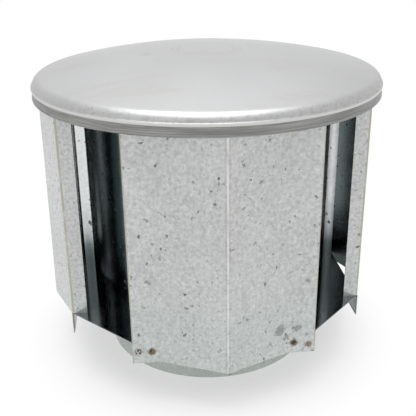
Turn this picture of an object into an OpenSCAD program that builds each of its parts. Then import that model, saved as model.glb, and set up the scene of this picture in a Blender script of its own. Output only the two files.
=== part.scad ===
// Vent cap for a round flue: a domed lid over four folded outer panels and
// four curved inner baffles, standing on a plate with a round collar.
// Millimetres, +Z up, origin at the centre of the collar's lower rim.

/* [Sheet] */
// Thickness of the galvanised sheet
sheet = 0.6; // [0.5:0.05:1.2]
// Outside radius of the panels' right-angle bends
bend_r = 1.4; // [1.3:0.1:2]

/* [Lid] */
// Diameter over the lid's skirt
lid_d = 240; // [232:1:260]
// Height of the skirt, from its lower edge to the bead's middle
skirt_h = 7.2; // [6:0.2:12]
// Height of the dome's middle above the skirt's lower edge
dome_h = 27.8; // [24:0.2:45]
// Radius of the shoulder between dome and skirt
shoulder_r = 7; // [5:0.5:9]
// Height of the rolled bead round the shoulder
bead_h = 2.4; // [2:0.1:3]
// How far the bead stands out from the skirt
bead_out = 0.6; // [0.4:0.1:1]
// Height of the hem along the skirt's lower edge
hem_h = 1.8; // [1.5:0.1:3]
// How far the hem stands out from the skirt
hem_out = 0.3; // [0.2:0.1:0.6]
// Radius of the round pressing mark on the dome
mark_r = 20.2; // [12:0.1:30]
// Width of the pressing mark's groove
mark_w = 1.2; // [1:0.1:2]
// Depth of the pressing mark's groove
mark_depth = 0.25; // [0.15:0.05:0.3]

/* [Outer panels] */
// Distance from the axis to a panel's flat outer face
panel_dist = 101; // [98:0.5:104]
// Gap between the panels' corners and the inside of the skirt
lid_gap = 1.9; // [1:0.1:4]
// Height of the panels' lower edges above the collar's rim
panel_foot = 34; // [20:0.5:40]
// Height of the skirt's lower edge above the collar's rim
skirt_z = 190.5; // [150:0.5:260]
// Half the width of the middle fold at the top
fold_half_top = 38; // [30:0.5:44]
// Half the width of the middle fold at the bottom
fold_half_foot = 42; // [30:0.5:46]
// Width of the returns along the free edges
return_w = 10.5; // [6:0.5:14]

/* [Inner baffles] */
// Outer radius of the baffles' curved walls
baffle_r = 86.7; // [84:0.1:90]
// Clear gap between two neighbouring baffles
baffle_gap = 28; // [16:0.5:40]
// Width of the baffles' outward flanges
baffle_flange = 7.5; // [5:0.5:9]

/* [Plates] */
// Height of the base plate's upper face above the collar's rim
plate_z = 49.5; // [46:0.5:60]
// Depth of the plates' turned flanges
plate_flange = 13; // [8:0.5:13]
// How far the top plate hangs below the skirt's lower edge
top_drop = 1; // [0:0.5:4]
// Height of the top plate's turned flanges
top_flange = 7; // [4:0.5:8]

/* [Collar] */
// Bore of the collar
collar_bore = 152; // [146:0.5:156]
// Width of the collar's upper rim, which lies on the base plate
collar_rim = 6; // [4:0.5:7]
// Width of the lap where the collar's ends meet
seam_w = 12; // [8:0.5:16]
// Direction of the collar's lap, seen from above
seam_angle = 100; // [60:5:120]

/* [Hidden] */
fine = 180;

// Lid: a ball-shaped dome runs tangent into the shoulder's arc
lid_r = lid_d / 2;
shoulder_c = lid_r - shoulder_r;
dome_over = dome_h - skirt_h;
dome_r = (shoulder_c * shoulder_c + dome_over * dome_over
          - shoulder_r * shoulder_r) / (2 * (dome_over - shoulder_r));
dome_c = dome_h - dome_r;

// Panels: free edges and ridge lie on one circle just inside the skirt
corner_r = lid_r - sheet - lid_gap;
panel_half = sqrt(corner_r * corner_r - panel_dist * panel_dist);
ridge_top = corner_r - panel_dist;
ridge_foot = ridge_top * fold_half_foot / fold_half_top;
// The panels reach up to where their corners carry the lid
panel_top = skirt_z + skirt_h
            + sqrt(pow(shoulder_r - sheet, 2) - pow(corner_r - shoulder_c, 2));

// Plates: eight-sided, with their flanges inside the panels' flat faces
plate_in = panel_dist - sheet;
plate_half = panel_half - sheet;
top_z = skirt_z - top_drop;

// Baffles: half the angle that each one spans about the axis
baffle_span = 45 - asin((baffle_gap / 2 + sheet / 2) / baffle_r);
collar_r = collar_bore / 2 + sheet;

module lid_section() {
    // Dome, as far out as the point where the shoulder begins
    touch_x = shoulder_c * dome_r / (dome_r - shoulder_r);
    intersection() {
        translate([0, dome_c]) difference() {
            circle(r = dome_r, $fn = 4 * fine);
            circle(r = dome_r - sheet, $fn = 4 * fine);
        }
        translate([0, dome_c]) polygon([
            [0, 0],
            [touch_x, skirt_h - dome_c + (touch_x - shoulder_c)
                * (skirt_h - dome_c) / shoulder_c],
            [touch_x, dome_r + 1],
            [0, dome_r + 1]]);
    }
    // Shoulder
    intersection() {
        translate([shoulder_c, skirt_h]) difference() {
            circle(r = shoulder_r, $fn = fine);
            circle(r = shoulder_r - sheet, $fn = fine);
        }
        translate([shoulder_c, skirt_h]) polygon([
            [0, 0],
            [lid_r, 0],
            [lid_r, lid_r],
            [lid_r * shoulder_c / (skirt_h - dome_c), lid_r]]);
    }
    // Skirt
    translate([lid_r - sheet, hem_h / 2])
        square([sheet, skirt_h - hem_h / 2]);
}

// Half-round swelling on the skirt's outside, between two heights
module skirt_swelling(mid_z, height, out) {
    bulge_r = (height * height / 4 + out * out) / (2 * out);
    translate([0, mid_z]) intersection() {
        translate([lid_r + out - bulge_r, 0]) circle(r = bulge_r, $fn = fine);
        translate([lid_r - sheet, -height / 2]) square([out + sheet, height]);
    }
}

module lid() {
    color("gainsboro") translate([0, 0, skirt_z]) difference() {
        rotate_extrude($fn = fine) {
            lid_section();
            skirt_swelling(skirt_h, bead_h, bead_out);
            skirt_swelling(hem_h / 2, hem_h, hem_out);
        }
        // Groove of the round pressing mark
        difference() {
            cylinder(h = dome_h + 1, r = mark_r, $fn = fine);
            translate([0, 0, -1])
                cylinder(h = dome_h + 3, r = mark_r - mark_w, $fn = fine);
            translate([0, 0, dome_c])
                sphere(r = dome_r - mark_depth, $fn = 4 * fine);
        }
    }
}

// Point where two offset lines of a folded outline meet, at one of its
// corners, with the sheet's thickness measured towards the axis
function unit(v) = v / norm(v);
function normal(a, b) = let (d = unit(b - a)) [-d.y, d.x];
function inset(p, i) =
    let (n1 = normal(p[max(i - 1, 0)], p[max(i, 1)]),
         n2 = normal(p[min(i, len(p) - 2)], p[min(i + 1, len(p) - 1)]))
    p[i] + sheet * (n1 + n2) / (1 + n1 * n2);

// Sheet folded along straight creases, from its outline at the foot and at
// the top, both listed from left to right as seen from outside
module folded_sheet(foot, top, foot_z, top_z) {
    count = len(foot);
    function ring(p) = concat(p,
        [for (i = [count - 1 : -1 : 0]) inset(p, i)]);
    function lift(p, z) = [for (q = p) [q.x, q.y, z]];
    // Index of an outline point on the outer face and on the inner face
    function outer(i) = i;
    function inner(i) = 2 * count - 1 - i;
    upper = 2 * count;
    sides = [for (i = [0 : 2 * count - 1])
        let (j = (i + 1) % (2 * count)) [i, j, upper + j, upper + i]];
    ends = [for (i = [0 : count - 2])
        for (f = [[outer(i), inner(i), inner(i + 1), outer(i + 1)],
                  [upper + outer(i), upper + outer(i + 1),
                   upper + inner(i + 1), upper + inner(i)]]) f];
    polyhedron(points = concat(lift(ring(foot), foot_z),
                               lift(ring(top), top_z)),
               faces = [for (f = concat(sides, ends))
                   [for (k = [len(f) - 1 : -1 : 0]) f[k]]]);
}

// Middle of a panel: two flat flanges and a folded ridge between them,
// up to where the returns' bends begin
module panel_front() {
    flat_half = panel_half - bend_r;
    function line(fold_half, ridge) = [
        [-flat_half, -panel_dist],
        [-fold_half, -panel_dist],
        [0, -panel_dist - ridge],
        [fold_half, -panel_dist],
        [flat_half, -panel_dist]];
    folded_sheet(line(fold_half_foot, ridge_foot),
                 line(fold_half_top, ridge_top), panel_foot, panel_top);
}

// Edge of a panel: between the two plates it bends into the return, and
// past them the flange runs on flat to the corner
module panel_edge() {
    mid = [panel_half - bend_r, bend_r - panel_dist];
    translate([0, 0, plate_z]) linear_extrude(height = top_z - plate_z) {
        intersection() {
            translate(mid) difference() {
                circle(r = bend_r, $fn = 48);
                circle(r = bend_r - sheet, $fn = 48);
            }
            translate([mid.x, mid.y - bend_r]) square(bend_r);
        }
        translate([panel_half - sheet, mid.y])
            square([sheet, return_w - bend_r]);
    }
    for (span = [[panel_foot, plate_z], [top_z, panel_top]])
        translate([mid.x, -panel_dist, span[0]])
            cube([bend_r, sheet, span[1] - span[0]]);
}

module outer_panel() {
    panel_front();
    panel_edge();
    mirror([1, 0, 0]) panel_edge();
}

// Curved baffle behind a slot, with a flange turned outward at each end
module inner_baffle() {
    translate([0, 0, plate_z])
        linear_extrude(height = top_z - plate_z) {
            rotate(-90) intersection() {
                difference() {
                    circle(r = baffle_r, $fn = fine);
                    circle(r = baffle_r - sheet, $fn = fine);
                }
                polygon([
                    [0, 0],
                    2 * baffle_r * [cos(baffle_span), -sin(baffle_span)],
                    [2 * baffle_r, 0],
                    2 * baffle_r * [cos(baffle_span), sin(baffle_span)]]);
            }
            for (side = [-1, 1])
                rotate(-90 + side * baffle_span)
                    translate([baffle_r - sheet, -sheet / 2])
                        square([baffle_flange + sheet, sheet]);
        }
}

// Eight-sided outline that the four panels close round
module plate_outline() {
    intersection() {
        square(2 * plate_in, center = true);
        rotate(45) square(sqrt(2) * (plate_in + plate_half), center = true);
    }
}

// Flanges along the four panels, from the plate's face down
module plate_flanges(depth) {
    for (turn = [0 : 90 : 270])
        rotate(turn) translate([-plate_half, -plate_in, -depth])
            cube([2 * plate_half, sheet, depth]);
}

module base_plate() {
    color("silver") translate([0, 0, plate_z]) {
        translate([0, 0, -sheet]) difference() {
            linear_extrude(height = sheet) plate_outline();
            translate([0, 0, -1])
                cylinder(h = sheet + 2, r = collar_r, $fn = fine);
        }
        plate_flanges(plate_flange);
    }
}

module top_plate() {
    color("silver") translate([0, 0, top_z]) {
        linear_extrude(height = sheet) plate_outline();
        mirror([0, 0, 1]) plate_flanges(top_flange);
    }
}

// Collar's tube, which goes up through the base plate
module collar() {
    color("darkgray") difference() {
        union() {
            cylinder(h = plate_z, r = collar_r, $fn = fine);
            // Lap of the collar's two ends, below the base plate
            intersection() {
                cylinder(h = plate_z - sheet, r = collar_r + sheet, $fn = fine);
                rotate(seam_angle) translate([0, -seam_w / 2, 0])
                    cube([2 * collar_r, seam_w, plate_z]);
            }
        }
        translate([0, 0, -1])
            cylinder(h = plate_z + 2, r = collar_bore / 2, $fn = fine);
    }
}

// Collar's upper edge, turned out flat over the base plate
module collar_flange() {
    color("darkgray") translate([0, 0, plate_z]) difference() {
        cylinder(h = sheet, r = collar_r + collar_rim, $fn = fine);
        translate([0, 0, -1])
            cylinder(h = sheet + 2, r = collar_bore / 2, $fn = fine);
    }
}

module panel_at(turn) {
    color("lightgray") rotate(turn) outer_panel();
}

module baffle_at(turn) {
    color("slategray") rotate(turn) inner_baffle();
}

lid();
top_plate();
panel_at(0);  // front_panel
panel_at(90);  // right_panel
panel_at(180);  // rear_panel
panel_at(270);  // left_panel
baffle_at(45);  // front_right_baffle
baffle_at(135);  // rear_right_baffle
baffle_at(225);  // rear_left_baffle
baffle_at(315);  // front_left_baffle
base_plate();
collar();
collar_flange();
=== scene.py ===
import math

import bpy
from mathutils import Matrix, Vector, noise


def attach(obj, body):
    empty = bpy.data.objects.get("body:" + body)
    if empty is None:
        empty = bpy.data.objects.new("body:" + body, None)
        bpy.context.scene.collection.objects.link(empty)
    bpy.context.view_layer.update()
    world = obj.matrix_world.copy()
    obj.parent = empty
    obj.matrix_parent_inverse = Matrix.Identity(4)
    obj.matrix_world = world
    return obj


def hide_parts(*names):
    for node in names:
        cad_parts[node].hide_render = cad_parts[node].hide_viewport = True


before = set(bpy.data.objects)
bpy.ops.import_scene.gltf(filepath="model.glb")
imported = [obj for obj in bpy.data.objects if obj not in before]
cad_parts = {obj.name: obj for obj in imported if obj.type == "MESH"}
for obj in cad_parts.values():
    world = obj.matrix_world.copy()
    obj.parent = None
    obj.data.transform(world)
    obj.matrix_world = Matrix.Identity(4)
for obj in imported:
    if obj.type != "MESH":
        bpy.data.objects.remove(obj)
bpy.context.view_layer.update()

# ---------------------------------------------------------------- sizes, m
MM = 0.001
SHEET = 0.6 * MM

# Outer panels, as seen in plan from the front one
PANEL_DIST = 101 * MM
PANEL_HALF = 60.04 * MM
PANEL_FOOT = 34 * MM
PANEL_TOP = 202.25 * MM
FOLD_HALF_FOOT, FOLD_HALF_TOP = 42 * MM, 38 * MM
RIDGE_FOOT, RIDGE_TOP = 18.24 * MM, 16.5 * MM
BEND_R = 1.4 * MM
RETURN_W = 10.5 * MM

# Heights between which the returns and the baffles stand
PLATE_Z = 49.5 * MM
TOP_Z = 189.5 * MM

BAFFLE_R = 86.7 * MM
BAFFLE_OUT = 94.2 * MM
BAFFLE_SPAN = math.radians(35.51)

LID_R = 120 * MM
SKIRT_Z = 190.5 * MM
SKIRT_H = 7.2 * MM
DOME_H = 27.8 * MM
SHOULDER_R = 7 * MM
MARK_R = 20.2 * MM

COLLAR_R = 76.6 * MM
COLLAR_RIM = 6 * MM
SEAM_ANGLE = math.radians(100)
SEAM_W = 12 * MM


# ---------------------------------------------------------------- mesh helpers
def rounded(corner_points, radii, steps):
    """A plan outline with each inner corner turned into a bend of `steps` pieces."""
    out = [Vector(corner_points[0])]
    for i in range(1, len(corner_points) - 1):
        here = Vector(corner_points[i])
        back = (Vector(corner_points[i - 1]) - here).normalized()
        on = (Vector(corner_points[i + 1]) - here).normalized()
        half = back.angle(on) / 2
        radius = radii[i - 1]
        reach = radius / math.tan(half)
        middle = here + (back + on).normalized() * (radius / math.sin(half))
        start = here + back * reach - middle
        turn = math.pi - 2 * half
        if start.x * on.y - start.y * on.x < 0:
            turn = -turn
        for k in range(steps + 1):
            a = turn * k / steps
            c, s = math.cos(a), math.sin(a)
            out.append(middle + Vector((c * start.x - s * start.y,
                                        s * start.x + c * start.y)))
    out.append(Vector(corner_points[-1]))
    return out


def stretched(points, longest):
    """The same outline with its long straight runs divided evenly."""
    out = [points[0]]
    for a, b in zip(points, points[1:]):
        parts = max(1, round((b - a).length / longest))
        out += [a.lerp(b, k / parts) for k in range(1, parts + 1)]
    return out


def plain_mesh(obj):
    """Turns an object with modifiers or nodes into a plain mesh."""
    graph = bpy.context.evaluated_depsgraph_get()
    mesh = bpy.data.meshes.new_from_object(obj.evaluated_get(graph))
    old = obj.data
    obj.modifiers.clear()
    obj.data = mesh
    mesh.name = obj.name
    if old.users == 0:
        bpy.data.meshes.remove(old)
    return obj


def new_object(name, vertices, faces, materials, face_slots=None):
    mesh = bpy.data.meshes.new(name)
    mesh.from_pydata([tuple(v) for v in vertices], [], faces)
    for m in materials:
        mesh.materials.append(m)
    if face_slots:
        mesh.polygons.foreach_set("material_index", face_slots)
    obj = bpy.data.objects.new(name, mesh)
    bpy.context.scene.collection.objects.link(obj)
    return obj


def give_thickness(obj, thickness, edge_slot, inner_slot=0):
    """Sheet thickness behind the outer face, with the inner face and the cut edges in slots."""
    m = obj.modifiers.new("sheet", "SOLIDIFY")
    m.thickness = thickness
    m.offset = -1
    m.use_even_offset = True
    m.material_offset = inner_slot
    m.material_offset_rim = edge_slot
    plain_mesh(obj)
    smooth_bends(obj)
    return obj


def smooth_bends(obj, angle=32):
    for p in obj.data.polygons:
        p.use_smooth = True
    obj.data.set_sharp_from_angle(angle=math.radians(angle))


def join_pieces(name, pieces):
    """One mesh from several, with their material slots merged."""
    vertices, faces, slots, materials = [], [], [], []
    for o in pieces:
        base = len(vertices)
        vertices += [v.co.copy() for v in o.data.vertices]
        for p in o.data.polygons:
            m = o.data.materials[p.material_index]
            if m not in materials:
                materials.append(m)
            faces.append([base + i for i in p.vertices])
            slots.append(materials.index(m))
    for o in pieces:
        bpy.data.objects.remove(o)
    joined = new_object(name, vertices, faces, materials, slots)
    smooth_bends(joined)
    return joined


# ---------------------------------------------------------------- node helpers
def add(tree, kind, links=None, **values):
    """A node with its settings, and its inputs set or linked by name or number."""
    n = tree.nodes.new(kind)
    for key, v in values.items():
        setattr(n, key, v)
    for key, v in (links or {}).items():
        socket = n.inputs[key]
        if isinstance(v, bpy.types.NodeSocket):
            tree.links.new(v, socket)
        else:
            socket.default_value = v
    return n


def maths(tree, operation, a, b=0.0, c=0.0, clamp=False):
    n = add(tree, "ShaderNodeMath", {0: a, 1: b, 2: c}, operation=operation)
    n.use_clamp = clamp
    return n.outputs[0]


def ramp(tree, value, low, high, to_low=0.0, to_high=1.0):
    n = add(tree, "ShaderNodeMapRange",
            {"Value": value, "From Min": low, "From Max": high,
             "To Min": to_low, "To Max": to_high},
            interpolation_type="SMOOTHSTEP")
    return n.outputs[0]


def blend(tree, share, a, b, how="MIX"):
    n = add(tree, "ShaderNodeMix", data_type="RGBA", blend_type=how)
    for socket, v in ((n.inputs[0], share), (n.inputs[6], a), (n.inputs[7], b)):
        if isinstance(v, bpy.types.NodeSocket):
            tree.links.new(v, socket)
        elif isinstance(v, (int, float)) and socket.type == "RGBA":
            socket.default_value = (v, v, v, 1)
        else:
            socket.default_value = v
    return n.outputs[2]


def cloud(tree, where, scale, detail=2.0, rough=0.5, stretch=None, shift=None):
    """Smooth noise from 0 to 1 over the piece."""
    if stretch or shift:
        where = add(tree, "ShaderNodeMapping",
                    {"Vector": where, "Scale": stretch or (1, 1, 1),
                     "Location": shift or (0, 0, 0)}).outputs[0]
    return add(tree, "ShaderNodeTexNoise",
               {"Vector": where, "Scale": scale, "Detail": detail,
                "Roughness": rough}).outputs[0]


def new_group(name, inputs, outputs):
    """A shader group with named sockets; returns the tree, its input and its output node."""
    tree = bpy.data.node_groups.new(name, "ShaderNodeTree")
    for label, kind, start in inputs:
        s = tree.interface.new_socket(label, in_out="INPUT", socket_type=kind)
        if start is not None:
            s.default_value = start
    for label, kind in outputs:
        tree.interface.new_socket(label, in_out="OUTPUT", socket_type=kind)
    return (tree, tree.nodes.new("NodeGroupInput"),
            tree.nodes.new("NodeGroupOutput"))


def fleck_group():
    """Dark specks in a zinc coating: few cells of a grid hold one, each bent out of round."""
    tree, gi, go = new_group(
        "zinc_flecks",
        [("Vector", "NodeSocketVector", None), ("Spacing", "NodeSocketFloat", 150.0),
         ("Size", "NodeSocketFloat", 0.16), ("Share", "NodeSocketFloat", 0.4),
         ("Seed", "NodeSocketVector", (0, 0, 0))],
        [("Mask", "NodeSocketFloat")])
    i = gi.outputs
    where = add(tree, "ShaderNodeVectorMath", {0: i["Vector"], 1: i["Seed"]},
                operation="ADD").outputs[0]
    # Bend and draw out the specks by two noises
    coarse = add(tree, "ShaderNodeTexNoise", {"Vector": where, "Scale": 190.0, "Detail": 1.0})
    fine = add(tree, "ShaderNodeTexNoise", {"Vector": where, "Scale": 900.0, "Detail": 2.0})
    push = add(tree, "ShaderNodeVectorMath", {0: coarse.outputs["Color"], 1: (0.5,) * 3},
               operation="SUBTRACT").outputs[0]
    push2 = add(tree, "ShaderNodeVectorMath", {0: fine.outputs["Color"], 1: (0.5,) * 3},
                operation="SUBTRACT").outputs[0]
    warped = add(tree, "ShaderNodeVectorMath", {0: push, 1: (0.006,) * 3, 2: where},
                 operation="MULTIPLY_ADD").outputs[0]
    warped = add(tree, "ShaderNodeVectorMath", {0: push2, 1: (0.0024,) * 3, 2: warped},
                 operation="MULTIPLY_ADD").outputs[0]
    cells = add(tree, "ShaderNodeTexVoronoi",
                {"Vector": warped, "Scale": i["Spacing"], "Randomness": 1.0})
    parts = add(tree, "ShaderNodeSeparateColor", {0: cells.outputs["Color"]})
    # A cell holds a speck when its own number is low; the size differs too
    holds = ramp(tree, maths(tree, "SUBTRACT", i["Share"], parts.outputs[0]), 0.0, 0.05)
    size = maths(tree, "MULTIPLY", i["Size"],
                 maths(tree, "MULTIPLY_ADD", parts.outputs[1], 0.8, 0.45))
    inside = ramp(tree, maths(tree, "DIVIDE", cells.outputs["Distance"], size),
                  1.0, 0.72)
    depth = maths(tree, "MULTIPLY_ADD", parts.outputs[2], 0.55, 0.45)
    mask = maths(tree, "MULTIPLY", maths(tree, "MULTIPLY", inside, holds), depth)
    tree.links.new(mask, go.inputs["Mask"])
    return tree


def sheet_group(flecks):
    """Galvanised sheet: cloudy zinc, fine rolling lines and three sizes of fleck."""
    tree, gi, go = new_group(
        "galvanised_sheet",
        [("Tone", "NodeSocketColor", (0.6, 0.6, 0.6, 1)),
         ("Flecks", "NodeSocketFloat", 1.0),
         ("Cloud", "NodeSocketFloat", 0.12), ("Grain", "NodeSocketFloat", 0.5),
         ("Roughness", "NodeSocketFloat", 0.3)],
        [("Color", "NodeSocketColor"), ("Roughness", "NodeSocketFloat"),
         ("Height", "NodeSocketFloat")])
    i = gi.outputs
    where = add(tree, "ShaderNodeTexCoord").outputs["Object"]
    masks = []
    for spacing, size, share, seed in ((260.0, 0.24, 0.34, (0.31, 0.12, 0.5)),
                                       (150.0, 0.20, 0.34, (0.9, 0.4, 0.2)),
                                       (80.0, 0.15, 0.26, (0.2, 0.7, 0.61))):
        n = tree.nodes.new("ShaderNodeGroup")
        n.node_tree = flecks
        tree.links.new(where, n.inputs["Vector"])
        n.inputs["Spacing"].default_value = spacing
        n.inputs["Size"].default_value = size
        n.inputs["Share"].default_value = share
        n.inputs["Seed"].default_value = seed
        masks.append(n.outputs[0])
    dark = maths(tree, "MAXIMUM", maths(tree, "MAXIMUM", masks[0], masks[1]), masks[2])
    dark = maths(tree, "MULTIPLY", dark, i["Flecks"], clamp=True)
    broad = cloud(tree, where, 18.0, 3.0, 0.55)
    middle = cloud(tree, where, 90.0, 3.0, 0.6, shift=(3, 1, 2))
    fine = cloud(tree, where, 700.0, 2.0, 0.6, stretch=(1, 1, 0.12))
    level = maths(tree, "ADD", maths(tree, "MULTIPLY", maths(tree, "SUBTRACT", broad, 0.5), 1.6),
                  maths(tree, "MULTIPLY", maths(tree, "SUBTRACT", middle, 0.5), 0.8))
    level = maths(tree, "ADD", level,
                  maths(tree, "MULTIPLY", maths(tree, "SUBTRACT", fine, 0.5), 0.5))
    grain = cloud(tree, where, 480.0, 3.0, 0.7, shift=(5, 7, 1))
    shade = maths(tree, "MULTIPLY_ADD", level, i["Cloud"], 1.0)
    shade = maths(tree, "MULTIPLY_ADD", maths(tree, "SUBTRACT", grain, 0.5), i["Grain"], shade)
    toned = add(tree, "ShaderNodeVectorMath", {0: i["Tone"]}, operation="SCALE")
    tree.links.new(shade, toned.inputs["Scale"])
    colour = blend(tree, maths(tree, "MULTIPLY", dark, 0.9), toned.outputs[0],
                   (0.085, 0.085, 0.08, 1))
    rough = maths(tree, "ADD", i["Roughness"],
                  maths(tree, "MULTIPLY", maths(tree, "SUBTRACT", middle, 0.5), 0.22))
    rough = maths(tree, "ADD", rough, maths(tree, "MULTIPLY", dark, 0.25))
    height = maths(tree, "SUBTRACT", maths(tree, "MULTIPLY", middle, 0.6),
                   maths(tree, "MULTIPLY", dark, 0.35))
    tree.links.new(colour, go.inputs["Color"])
    tree.links.new(rough, go.inputs["Roughness"])
    tree.links.new(height, go.inputs["Height"])
    return tree


def new_material(name, metallic=1.0, roughness=0.3):
    m = bpy.data.materials.new(name)
    m.use_nodes = True
    shader = m.node_tree.nodes["Principled BSDF"]
    shader.inputs["Metallic"].default_value = metallic
    shader.inputs["Roughness"].default_value = roughness
    return m, m.node_tree, shader


def sheet_material(name, tone, flecks, clouding, roughness, metallic=1.0, bump=0.05,
                   grain=0.5):
    m, tree, shader = new_material(name, metallic)
    g = tree.nodes.new("ShaderNodeGroup")
    g.node_tree = GALVANISED
    g.inputs["Tone"].default_value = (*tone, 1)
    g.inputs["Flecks"].default_value = flecks
    g.inputs["Cloud"].default_value = clouding
    g.inputs["Grain"].default_value = grain
    g.inputs["Roughness"].default_value = roughness
    tree.links.new(g.outputs["Color"], shader.inputs["Base Color"])
    tree.links.new(g.outputs["Roughness"], shader.inputs["Roughness"])
    b = add(tree, "ShaderNodeBump", {"Height": g.outputs["Height"],
                                     "Strength": bump, "Distance": 0.0006})
    tree.links.new(b.outputs[0], shader.inputs["Normal"])
    return m, tree, shader, g


def lid_material():
    """Pressed sheet: dull dome with blotches and scuffs, a stained pressing mark, a painted highlight
    on the bead, a brushed skirt painted darker as painted shade.
    """
    m, tree, shader = new_material("lid_sheet", 1.0)
    where = add(tree, "ShaderNodeTexCoord").outputs["Object"]
    xyz = add(tree, "ShaderNodeSeparateXYZ", {0: where})
    x, y, z = xyz.outputs
    radius = maths(tree, "SQRT", maths(tree, "ADD", maths(tree, "MULTIPLY", x, x),
                                       maths(tree, "MULTIPLY", y, y)))
    broad = cloud(tree, where, 14.0, 3.0, 0.5)
    streaky = cloud(tree, where, 30.0, 3.0, 0.6, stretch=(0.5, 1.6, 1))
    fine = cloud(tree, where, 420.0, 2.0, 0.5)
    colour = blend(tree, broad, (0.445, 0.445, 0.45, 1), (0.515, 0.52, 0.525, 1))
    warm = ramp(tree, streaky, 0.52, 0.72)
    colour = blend(tree, maths(tree, "MULTIPLY", warm, 0.35), colour, (0.43, 0.415, 0.39, 1))
    colour = blend(tree, maths(tree, "MULTIPLY", fine, 0.14), colour, (0.30, 0.30, 0.30, 1))
    # Stain rings of the pressing mark, broken up round the circle
    broken = ramp(tree, cloud(tree, where, 60.0, 2.0), 0.38, 0.6)
    for ring, width, strength in ((MARK_R - 0.6 * MM, 1.3 * MM, 0.42),
                                  (MARK_R + 3.4 * MM, 2.0 * MM, 0.22)):
        off = maths(tree, "ABSOLUTE", maths(tree, "SUBTRACT", radius, ring))
        line = maths(tree, "MULTIPLY", ramp(tree, off, width, 0.0), broken)
        colour = blend(tree, maths(tree, "MULTIPLY", line, strength), colour,
                       (0.36, 0.33, 0.28, 1))
    # A few dark scuffs
    for spacing, size, share, seed, strength in (
            (42.0, 0.16, 0.20, (0.4, 0.1, 0.2), 0.35),
            (150.0, 0.14, 0.10, (0.8, 0.3, 0.7), 0.4)):
        n = tree.nodes.new("ShaderNodeGroup")
        n.node_tree = FLECKS
        tree.links.new(where, n.inputs["Vector"])
        n.inputs["Spacing"].default_value = spacing
        n.inputs["Size"].default_value = size
        n.inputs["Share"].default_value = share
        n.inputs["Seed"].default_value = seed
        colour = blend(tree, maths(tree, "MULTIPLY", n.outputs[0], strength), colour,
                       (0.25, 0.25, 0.25, 1))
    # Rim: mottled dirt on the bead, a painted highlight along its top, then a skirt painted darker as
    # painted shade, with brushed streaks
    dirt = ramp(tree, cloud(tree, where, 420.0, 4.0, 0.7), 0.47, 0.62)
    where_dirty = ramp(tree, cloud(tree, where, 11.0, 1.0), 0.36, 0.56)
    rim = maths(tree, "MULTIPLY", ramp(tree, radius, 0.1160, 0.1185),
                maths(tree, "MULTIPLY", dirt, where_dirty))
    colour = blend(tree, maths(tree, "MULTIPLY", rim, 0.30), colour, (0.24, 0.23, 0.18, 1))
    # Painted highlight: a lighter band along the bead's top, where it catches the light
    bead_painted_highlight = maths(tree, "MULTIPLY", ramp(tree, z, 0.1963, 0.1969), ramp(tree, z, 0.1988, 0.1982))
    colour = blend(tree, maths(tree, "MULTIPLY", bead_painted_highlight, 0.85), colour, (0.68, 0.68, 0.66, 1))
    brushed = cloud(tree, where, 60.0, 4.0, 0.75, stretch=(0.35, 0.35, 24))
    # Painted shade: the skirt is painted darker than the dome for the dark surroundings it reflects;
    # the brushed streaks are its own
    on_skirt = ramp(tree, z, 0.1968, 0.1963)
    skirt = blend(tree, ramp(tree, brushed, 0.36, 0.64), (0.19, 0.19, 0.19, 1),
                  (0.37, 0.37, 0.36, 1))
    colour = blend(tree, on_skirt, colour, skirt)
    tree.links.new(colour, shader.inputs["Base Color"])
    rough = maths(tree, "ADD", 0.36, maths(tree, "MULTIPLY", broad, 0.14))
    tree.links.new(rough, shader.inputs["Roughness"])
    b = add(tree, "ShaderNodeBump", {"Height": blend(tree, on_skirt, fine, brushed),
                                     "Strength": 0.06, "Distance": 0.0005})
    tree.links.new(b.outputs[0], shader.inputs["Normal"])
    return m


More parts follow.
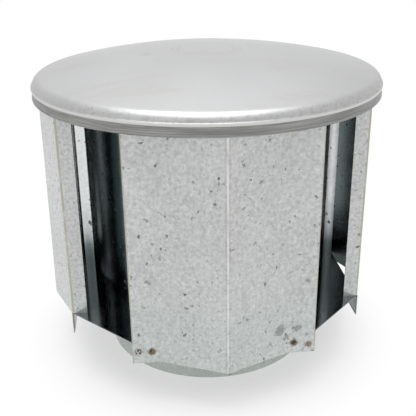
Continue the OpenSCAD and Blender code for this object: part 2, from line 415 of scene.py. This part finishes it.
def panel_marks(tree, shader, g):
    """Weld marks, a painted highlight along the ridge, stained free edges and dull patches,
    from the flat sheet's own coordinates: across, up and the panel's number."""
    at = add(tree, "ShaderNodeAttribute", attribute_name="sheet").outputs["Vector"]
    where = add(tree, "ShaderNodeTexCoord").outputs["Object"]
    across, up, number = add(tree, "ShaderNodeSeparateXYZ", {0: at}).outputs
    aside = maths(tree, "ABSOLUTE", across)
    speck = cloud(tree, where, 600.0, 3.0, 0.7)
    shift = maths(tree, "SUBTRACT", speck, 0.5)
    colour = g.outputs["Color"]
    # A slightly darker greenish tint towards the foot, and faint drawn lines up the sheet
    green = maths(tree, "MULTIPLY", ramp(tree, up, 0.130, 0.050), 0.45)
    colour = blend(tree, green, colour, (0.90, 1.0, 0.95, 1), "MULTIPLY")
    drawn = cloud(tree, at, 900.0, 3.0, 0.7, stretch=(1, 0.02, 0.3))
    colour = blend(tree, maths(tree, "MULTIPLY", ramp(tree, drawn, 0.40, 0.66), 0.10), colour,
                   (0.30, 0.30, 0.30, 1))
    # Painted highlight: a light line along the ridge, with a darker line beside it; and a brown line
    # along each free edge
    wander = cloud(tree, where, 70.0, 2.0)
    ridge = maths(tree, "MULTIPLY", ramp(tree, aside, 0.0008, 0.0002),
                  ramp(tree, wander, 0.30, 0.60))
    colour = blend(tree, maths(tree, "MULTIPLY", ridge, 0.7), colour, (0.86, 0.86, 0.83, 1))
    crease = maths(tree, "MULTIPLY", ramp(tree, aside, 0.0018, 0.0012),
                   ramp(tree, aside, 0.0006, 0.0011))
    colour = blend(tree, maths(tree, "MULTIPLY", crease, 0.30), colour, (0.30, 0.29, 0.25, 1))
    line = maths(tree, "MULTIPLY", ramp(tree, aside, 0.0589, 0.0595),
                 ramp(tree, aside, 0.0606, 0.0600))
    colour = blend(tree, maths(tree, "MULTIPLY", line, ramp(tree, wander, 0.25, 0.5)), colour,
                   (0.47, 0.45, 0.36, 1))
    # Dull grey patches near the foot of the first panel
    first = ramp(tree, number, 0.6, 0.4)
    for u, z, size in DULL_PATCHES:
        d = add(tree, "ShaderNodeVectorMath", {0: at, 1: (u, z, 0)},
                operation="DISTANCE").outputs["Value"]
        d = maths(tree, "MULTIPLY_ADD", shift, 0.012, d)
        patch = maths(tree, "MULTIPLY", ramp(tree, d, size, size * 0.7), first)
        colour = blend(tree, maths(tree, "MULTIPLY", patch, 0.75), colour,
                       (0.24, 0.245, 0.24, 1))
    # Spot welds: brown and black halos round a bright pit
    mask = burnt = None
    for u, z, size, black in WELD_SPOTS:
        d = add(tree, "ShaderNodeVectorMath", {0: at, 1: (u, z, 0)}, operation="SUBTRACT").outputs[0]
        flat = add(tree, "ShaderNodeVectorMath", {0: d, 1: (1, 1, 0)}, operation="MULTIPLY").outputs[0]
        d = add(tree, "ShaderNodeVectorMath", {0: flat}, operation="LENGTH").outputs["Value"]
        d = maths(tree, "MULTIPLY_ADD", shift, 0.006, d)
        near = ramp(tree, d, size, size * 0.55)
        dark = maths(tree, "MULTIPLY", near, black)
        mask = near if mask is None else maths(tree, "MAXIMUM", mask, near)
        burnt = dark if burnt is None else maths(tree, "MAXIMUM", burnt, dark)
    brown = blend(tree, ramp(tree, speck, 0.40, 0.62), (0.26, 0.17, 0.09, 1),
                  (0.03, 0.025, 0.02, 1))
    black = blend(tree, ramp(tree, speck, 0.44, 0.52), (0.55, 0.56, 0.54, 1),
                  (0.012, 0.012, 0.012, 1))
    colour = blend(tree, mask, colour, blend(tree, burnt, brown, black))
    tree.links.new(colour, shader.inputs["Base Color"])
    tree.links.new(maths(tree, "MULTIPLY_ADD", mask, -0.5 * PANEL_METAL, PANEL_METAL),
                   shader.inputs["Metallic"])


def sheet_with_painted_shade(name, painted_shade_tone, unshaded_mask_of, roughness):
    """Galvanised sheet that is bright where the mask is 1 and painted dark with streaks elsewhere, as
    painted shade.
    """
    m, tree, shader, g = sheet_material(name, (0.72, 0.74, 0.745), 1.2, 0.16, roughness,
                                        grain=0.4)
    where = add(tree, "ShaderNodeTexCoord").outputs["Object"]
    streaks = cloud(tree, where, 320.0, 3.0, 0.6, stretch=(1, 1, 0.04))
    # Painted shade: the dark streaked tone stands where the inside of the cap is in shade
    dull = blend(tree, ramp(tree, streaks, 0.38, 0.66), (*painted_shade_tone, 1),
                 (*[c * 1.3 for c in painted_shade_tone], 1))
    colour = blend(tree, unshaded_mask_of(tree, where), dull, g.outputs["Color"])
    tree.links.new(colour, shader.inputs["Base Color"])
    return m


def baffle_unshaded_mask(tree, where):
    """1 on the flanges outside the curved wall, fading out towards the foot; the curved wall and the
    flanges' foot get painted shade.
    """
    x, y, z = add(tree, "ShaderNodeSeparateXYZ", {0: where}).outputs
    radius = maths(tree, "SQRT", maths(tree, "ADD", maths(tree, "MULTIPLY", x, x),
                                       maths(tree, "MULTIPLY", y, y)))
    return maths(tree, "MULTIPLY", ramp(tree, radius, BAFFLE_R + 0.1 * MM, BAFFLE_R + 0.7 * MM),
                 ramp(tree, z, 0.062, 0.118, 0.12, 1.0))


def inside_unshaded_mask(tree, where):
    """1 up the panels' inner faces, fading to 0 near their foot, where they get painted shade."""
    z = add(tree, "ShaderNodeSeparateXYZ", {0: where}).outputs[2]
    ragged = maths(tree, "MULTIPLY_ADD", cloud(tree, where, 60.0, 2.0), 0.012, z)
    return ramp(tree, ragged, 0.064, 0.078)


# ---------------------------------------------------------------- materials
# Weld marks on a panel's foot: across, up, size in metres, and how black
WELD_SPOTS = [(-0.0561, 0.0425, 0.0034, 1.0), (-0.0475, 0.0423, 0.0032, 0.0),
              (0.0457, 0.0418, 0.0034, 0.15), (0.0556, 0.0400, 0.0028, 0.3)]
DULL_PATCHES = [(0.0356, 0.0530, 0.0042), (0.0482, 0.0528, 0.0030), (0.0405, 0.0465, 0.0024)]
PANEL_METAL = 0.62
FLECKS = fleck_group()
GALVANISED = sheet_group(FLECKS)
LID_SHEET = lid_material()
PANEL_SHEET, _t, _s, _g = sheet_material("panel_sheet", (0.60, 0.605, 0.605), 1.0, 0.16, 0.27,
                                         grain=1.15)
panel_marks(_t, _s, _g)
# Inner faces of the panels and the baffles: painted shade where the inside is dark
PANEL_INSIDE = sheet_with_painted_shade("panel_inside", (0.10, 0.11, 0.115), inside_unshaded_mask, 0.25)
BAFFLE_SHEET = sheet_with_painted_shade("baffle_sheet", (0.17, 0.205, 0.21), baffle_unshaded_mask, 0.18)
# Base and top plate painted dark: painted shade of the cap's inside
PLATE_SHEET = sheet_material("plate_sheet", (0.23, 0.245, 0.25), 0.3, 0.3, 0.12)[0]
COLLAR_SHEET = sheet_material("collar_sheet", (0.55, 0.60, 0.57), 0.5, 0.2, 0.3)[0]
CUT_EDGE = sheet_material("cut_edge", (0.34, 0.32, 0.25), 0.6, 0.25, 0.45)[0]


# ---------------------------------------------------------------- panels
def panel_plan(height):
    """Plan of the front panel's outer face at one height, between its two bends."""
    share = (height - PANEL_FOOT) / (PANEL_TOP - PANEL_FOOT)
    fold = FOLD_HALF_FOOT + (FOLD_HALF_TOP - FOLD_HALF_FOOT) * share
    ridge = RIDGE_FOOT + (RIDGE_TOP - RIDGE_FOOT) * share
    flat = PANEL_HALF - BEND_R
    corners = [(-flat, -PANEL_DIST), (-fold, -PANEL_DIST), (0, -PANEL_DIST - ridge),
               (fold, -PANEL_DIST), (flat, -PANEL_DIST)]
    points = rounded(corners, (3 * MM, 1.1 * MM, 3 * MM), 4)
    lengths = [(b - a).length for a, b in zip(points, points[1:])]
    return points, lengths


def fold_panel(name, turn, index):
    """One outer panel: two flat flanges, a V fold, and a return along each free edge."""
    levels = []
    for low, high, parts in ((PANEL_FOOT, PLATE_Z, 5), (PLATE_Z, TOP_Z, 44),
                             (TOP_Z, PANEL_TOP, 4)):
        levels += [low + (high - low) * k / parts for k in range(parts)]
    levels.append(PANEL_TOP)
    # The long runs are divided by counts taken at the foot, so that rows match
    base, lengths = panel_plan(PANEL_FOOT)
    parts = [max(1, round(length / (3.2 * MM))) for length in lengths]
    vertices, coordinates, main = [], [], []
    for z in levels:
        points, _ = panel_plan(z)
        row = [points[0]]
        for a, b, n in zip(points, points[1:], parts):
            row += [a.lerp(b, k / n) for k in range(1, n + 1)]
        ids = []
        for p in row:
            wave = noise.noise(Vector((p.x * 26 + 7.3 * index, z * 17, index * 3.1)))
            wave = 0.5 + 0.5 * max(-1, min(1, wave * 1.6))
            edge = min(1, (PANEL_HALF - abs(p.x)) / (10 * MM))
            ids.append(len(vertices))
            vertices.append((p.x, p.y + 0.32 * MM * wave * edge, z))
            coordinates.append((p.x, z, index))
        main.append(ids)
    faces, slots = [], []

    def strip(left_ids, right_ids, flip):
        for k in range(len(left_ids) - 1):
            f = [left_ids[k], right_ids[k], right_ids[k + 1], left_ids[k + 1]]
            faces.append(f[::-1] if flip else f)
            slots.append(0)

    for c in range(len(main[0]) - 1):
        strip([row[c] for row in main], [row[c + 1] for row in main], False)
    for side in (-1, 1):
        edge = [row[0 if side < 0 else -1] for row in main]
        flip = side < 0
        centre = Vector((side * (PANEL_HALF - BEND_R), BEND_R - PANEL_DIST))
        bend = [centre + BEND_R * Vector((side * math.sin(a), -math.cos(a)))
                for a in [math.pi / 2 * k / 6 for k in range(1, 7)]]
        bend += [Vector((side * PANEL_HALF, BEND_R - PANEL_DIST + (RETURN_W - BEND_R) * k / 4))
                 for k in range(1, 5)]
        between = [k for k, z in enumerate(levels) if PLATE_Z - 1e-6 <= z <= TOP_Z + 1e-6]
        last = [edge[k] for k in between]
        for p in bend:
            column = []
            for k in between:
                column.append(len(vertices))
                vertices.append((p.x, p.y, levels[k]))
                coordinates.append((p.x + side * max(0, p.y + PANEL_DIST - BEND_R),
                                    levels[k], index))
            strip(last, column, flip)
            last = column
        for span in ([k for k in range(len(levels)) if levels[k] <= PLATE_Z + 1e-6],
                     [k for k in range(len(levels)) if levels[k] >= TOP_Z - 1e-6]):
            column = []
            for k in span:
                column.append(len(vertices))
                vertices.append((side * PANEL_HALF, -PANEL_DIST, levels[k]))
                coordinates.append((side * PANEL_HALF, levels[k], index))
            strip([edge[k] for k in span], column, flip)
    obj = new_object(name, vertices, faces, [PANEL_SHEET, PANEL_INSIDE, CUT_EDGE], slots)
    sheet = obj.data.attributes.new("sheet", "FLOAT_VECTOR", "POINT")
    sheet.data.foreach_set("vector", [c for p in coordinates for c in p])
    give_thickness(obj, SHEET, 2, 1)
    obj.data.transform(Matrix.Rotation(math.radians(turn), 4, "Z"))
    return obj


# ---------------------------------------------------------------- baffles
def roll_baffle(name, turn):
    """One curved baffle behind a slot, with a flange turned outward at each end."""
    def at(radius, angle, aside=0.0):
        c, s = math.cos(angle), math.sin(angle)
        return Vector((radius * s - aside * c, -radius * c - aside * s))

    arc = [at(BAFFLE_R, BAFFLE_SPAN * (2 * k / 44 - 1)) for k in range(1, 44)]
    half = SHEET / 2
    corners = ([at(BAFFLE_OUT, -BAFFLE_SPAN, -half), at(BAFFLE_R, -BAFFLE_SPAN, -half)]
               + arc
               + [at(BAFFLE_R, BAFFLE_SPAN, half), at(BAFFLE_OUT, BAFFLE_SPAN, half)])
    ends = rounded([corners[0], corners[1], corners[2]], (1.2 * MM,), 5)[:-1]
    other = rounded([corners[-3], corners[-2], corners[-1]], (1.2 * MM,), 5)[1:]
    plan = stretched(ends[:1] + ends[1:] + corners[2:-2] + other, 3 * MM)
    rows = 40
    vertices, faces = [], []
    for r in range(rows + 1):
        z = PLATE_Z + (TOP_Z - PLATE_Z) * r / rows
        vertices += [(p.x, p.y, z) for p in plan]
    n = len(plan)
    for r in range(rows):
        for c in range(n - 1):
            a = r * n + c
            faces.append([a, a + 1, a + n + 1, a + n])
    obj = new_object(name, vertices, faces, [BAFFLE_SHEET, CUT_EDGE])
    give_thickness(obj, SHEET, 1)
    obj.data.transform(Matrix.Rotation(math.radians(turn), 4, "Z"))
    return obj


# ---------------------------------------------------------------- lid
def lid_profile():
    """Half section of the lid, from the middle of the dome's top round to its inside."""
    centre = LID_R - SHOULDER_R
    over = DOME_H - SKIRT_H
    dome_r = (centre ** 2 + over ** 2 - SHOULDER_R ** 2) / (2 * (over - SHOULDER_R))
    dome_c = DOME_H - dome_r
    lean = math.atan2(centre, SKIRT_H - dome_c)

    def dome(radius_in, radius_out, steps, inset):
        return [((dome_r - inset) * math.sin(a), dome_c + (dome_r - inset) * math.cos(a))
                for a in [lean * k / steps for k in range(steps + 1)]]

    def shoulder(inset, last):
        first = math.pi / 2 - lean
        return [(centre + (SHOULDER_R - inset) * math.cos(a),
                 SKIRT_H + (SHOULDER_R - inset) * math.sin(a))
                for a in [first + (last - first) * k / 12 for k in range(1, 13)]]

    outer = dome(0, 0, 44, 0.0)
    dented = []
    for r, z in outer:
        groove = math.exp(-((r - MARK_R + 0.6 * MM) / (0.7 * MM)) ** 2)
        dented.append((r, z - 0.22 * MM * groove))
    outer = dented + shoulder(0.0, math.radians(12))
    # Rolled bead, with a fine crease above it and a sharp step under it
    bead = [(119.93, 8.50), (120.00, 8.42), (120.34, 8.12), (120.54, 7.70), (120.60, 7.20),
            (120.52, 6.70), (120.34, 6.30), (120.10, 6.06), (119.78, 5.98), (119.76, 5.72),
            (119.92, 5.50)]
    skirt = [(119.97, 4.4), (119.94, 3.3), (119.98, 2.3), (120.10, 1.95), (120.26, 1.5),
             (120.30, 0.9), (120.22, 0.3), (120.00, 0.0), (119.62, 0.0), (119.42, 0.25)]
    outer += [(r * MM, z * MM) for r, z in bead + skirt]
    inner = [(LID_R - SHEET, SKIRT_H * k / 3) for k in (1, 2)]
    inner += [(LID_R - SHEET, SKIRT_H)] + shoulder(SHEET, 0.0)[::-1][1:]
    inner += dome(0, 0, 20, SHEET)[::-1]
    return outer, inner


def spin_lid():
    outer, inner = lid_profile()
    profile = outer + inner
    turns = 288
    vertices, rings = [], []
    for r, z in profile:
        if r < 1e-9:
            rings.append([len(vertices)])
            vertices.append((0, 0, SKIRT_Z + z))
            continue
        ring = []
        for k in range(turns):
            a = 2 * math.pi * k / turns
            x, y = r * math.cos(a), r * math.sin(a)
            dip = noise.noise(Vector((x * 16, y * 16, 4.2)))
            dip = 0.28 * MM * (0.5 + 0.5 * max(-1, min(1, dip * 1.5)))
            dip *= min(1, r / (8 * MM)) * max(0, min(1, (LID_R - r) / (9 * MM)))
            ring.append(len(vertices))
            vertices.append((x, y, SKIRT_Z + z - dip))
        rings.append(ring)
    faces = []
    for a, b in zip(rings, rings[1:]):
        for k in range(turns):
            j = (k + 1) % turns
            if len(a) == 1:
                faces.append([a[0], b[k], b[j]])
            elif len(b) == 1:
                faces.append([a[k], b[0], a[j]])
            else:
                faces.append([a[k], b[k], b[j], a[j]])
    obj = new_object("lid_pressed", vertices, faces, [LID_SHEET])
    smooth_bends(obj, 40)
    return obj


# ---------------------------------------------------------------- collar
def roll_collar():
    """The collar's tube with its upper edge turned out over the base plate, and the lap."""
    inner_r = COLLAR_R - SHEET
    bend = 1.0 * MM
    top = PLATE_Z + SHEET
    section = [(inner_r + 0.15 * MM, 0), (inner_r, 0.15 * MM)]
    section += [(inner_r, (top - bend) * k / 6) for k in range(1, 7)]
    section += [(inner_r + bend - bend * math.cos(a), top - bend + bend * math.sin(a))
                for a in [math.pi / 2 * k / 5 for k in range(1, 6)]]
    section += [(COLLAR_R + COLLAR_RIM, top), (COLLAR_R + COLLAR_RIM, PLATE_Z),
                (COLLAR_R, PLATE_Z), (COLLAR_R, PLATE_Z - SHEET - 0.02 * MM)]
    section += [(COLLAR_R, (PLATE_Z - SHEET) * k / 6) for k in range(5, 0, -1)]
    section += [(COLLAR_R, 0.15 * MM), (COLLAR_R - 0.15 * MM, 0)]
    turns, n = 224, len(section)
    vertices, faces = [], []
    for k in range(turns):
        a = 2 * math.pi * k / turns
        vertices += [(r * math.cos(a), r * math.sin(a), z) for r, z in section]
        j = (k + 1) % turns
        for i in range(n):
            m = (i + 1) % n
            faces.append([k * n + i, k * n + m, j * n + m, j * n + i])
    tube = new_object("collar_tube", vertices, faces, [COLLAR_SHEET])
    # Lap: a strip one sheet thick that follows the tube, its long edges slightly rounded
    vertices, faces = [], []
    half = SEAM_W / 2 / COLLAR_R
    heights = [PLATE_Z - SHEET - (PLATE_Z - SHEET) * k / 8 for k in range(9)]
    across = [(-half, -0.02), (-half, 0.45), (-half + 0.004, 0.6)]
    across += [(-half + 2 * half * k / 8, 0.6) for k in range(1, 8)]
    across += [(half - 0.004, 0.6), (half, 0.45), (half, -0.02)]
    for z in heights:
        for a, out in across:
            r = COLLAR_R + out * MM
            a += SEAM_ANGLE
            vertices.append((r * math.cos(a), r * math.sin(a), z))
    m = len(across)
    for r in range(len(heights) - 1):
        for c in range(m - 1):
            v = r * m + c
            faces.append([v, v + m, v + m + 1, v + 1])
    faces.append(list(range(m)))
    faces.append(list(range(len(vertices) - m, len(vertices)))[::-1])
    lap = new_object("collar_lap", vertices, faces, [COLLAR_SHEET])
    return join_pieces("collar_rolled", [tube, lap])


# ---------------------------------------------------------------- build
lid = spin_lid()
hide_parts("lid")

collar = roll_collar()
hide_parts("collar", "collar_flange")

dressed = [lid, collar]
for index, (side, turn) in enumerate((("front", 0), ("right", 90), ("rear", 180), ("left", 270))):
    panel = fold_panel(side + "_panel_folded", turn, index)
    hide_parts(side + "_panel")
    dressed.append(panel)
for corner, turn in (("front_right", 45), ("rear_right", 135), ("rear_left", 225),
                     ("front_left", 315)):
    baffle = roll_baffle(corner + "_baffle_rolled", turn)
    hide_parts(corner + "_baffle")
    dressed.append(baffle)
for piece in dressed:
    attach(piece, "root")

for name in ("base_plate", "top_plate"):
    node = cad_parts[name]
    node.data.materials.clear()
    node.data.materials.append(PLATE_SHEET)


# ---------------------------------------------------------------- studio
def white_ray_share(tree):
    """1 for rays that see the background: from the camera, off metal or through glass."""
    path = add(tree, "ShaderNodeLightPath")
    seen = maths(tree, "MAXIMUM", path.outputs["Is Camera Ray"], path.outputs["Is Glossy Ray"])
    return maths(tree, "MAXIMUM", seen, path.outputs["Is Transmission Ray"])


def lay_floor():
    size = 12.0
    floor = new_object("floor", [(-size, -size, 0), (size, -size, 0), (size, size, 0),
                                 (-size, size, 0)], [[0, 1, 2, 3]], [])
    m = bpy.data.materials.new("floor")
    m.use_nodes = True
    tree = m.node_tree
    tree.nodes.clear()
    lit = add(tree, "ShaderNodeBsdfDiffuse", {"Color": (0.86, 0.87, 0.865, 1)})
    white = add(tree, "ShaderNodeEmission", {"Color": (1, 1, 1, 1), "Strength": 1.0})
    # White away from the object; near it the floor shows the object's shadow
    where = add(tree, "ShaderNodeTexCoord").outputs["Object"]
    away = add(tree, "ShaderNodeVectorMath", {0: where}, operation="LENGTH").outputs["Value"]
    share = maths(tree, "MULTIPLY", white_ray_share(tree), ramp(tree, away, 0.08, 0.15, 0.55, 1.0))
    mixed = add(tree, "ShaderNodeMixShader", {0: share, 1: lit.outputs[0], 2: white.outputs[0]})
    out = add(tree, "ShaderNodeOutputMaterial")
    tree.links.new(mixed.outputs[0], out.inputs["Surface"])
    floor.data.materials.append(m)


def light_world():
    world = bpy.data.worlds.new("studio")
    bpy.context.scene.world = world
    world.use_nodes = True
    tree = world.node_tree
    tree.nodes.clear()
    lit = add(tree, "ShaderNodeBackground", {"Color": (1, 1, 1, 1), "Strength": 0.55})
    white = add(tree, "ShaderNodeBackground", {"Color": (1, 1, 1, 1), "Strength": 1.0})
    mixed = add(tree, "ShaderNodeMixShader",
                {0: white_ray_share(tree), 1: lit.outputs[0], 2: white.outputs[0]})
    out = add(tree, "ShaderNodeOutputWorld")
    tree.links.new(mixed.outputs[0], out.inputs["Surface"])


def hang_lamp(name, place, target, width, height, watts):
    lamp = bpy.data.lights.new(name, "AREA")
    lamp.shape = "RECTANGLE"
    lamp.size, lamp.size_y = width, height
    lamp.energy = watts
    obj = bpy.data.objects.new(name, lamp)
    obj.location = place
    obj.rotation_euler = (Vector(target) - Vector(place)).to_track_quat("-Z", "Y").to_euler()
    bpy.context.scene.collection.objects.link(obj)


def set_camera():
    """The photograph's viewing angle, from a fit of the part's edges to it."""
    pitch, roll, heading = math.radians(22.24), math.radians(-0.67), math.radians(5.55)
    place = Vector((-46.42, -477.59, 303.67)) * MM
    ahead = Vector((math.sin(heading) * math.cos(pitch),
                    math.cos(heading) * math.cos(pitch), -math.sin(pitch)))
    level = Vector((math.cos(heading), -math.sin(heading), 0))
    upward = level.cross(ahead)
    right = math.cos(roll) * level + math.sin(roll) * upward
    above = -math.sin(roll) * level + math.cos(roll) * upward
    data = bpy.data.cameras.new("camera")
    data.sensor_width = 36
    data.lens = 59.68
    data.shift_y = -0.0288
    data.clip_start, data.clip_end = 0.01, 50
    obj = bpy.data.objects.new("camera", data)
    turn = Matrix((right, above, -ahead)).transposed()
    obj.matrix_world = Matrix.Translation(place) @ turn.to_4x4()
    bpy.context.scene.collection.objects.link(obj)
    bpy.context.scene.camera = obj


lay_floor()
light_world()
hang_lamp("overhead", (-0.05, -0.10, 1.0), (0, 0, 0.2), 0.8, 0.7, 5.5)
hang_lamp("behind", (0.05, 1.1, 1.35), (0, 0, 0.2), 1.3, 0.8, 1.2)
hang_lamp("front left", (-1.0, -1.0, 0.9), (0, 0, 0.12), 0.7, 0.7, 0.5)
set_camera()
bpy.context.scene.view_settings.view_transform = "Standard"

bpy.context.view_layer.update()
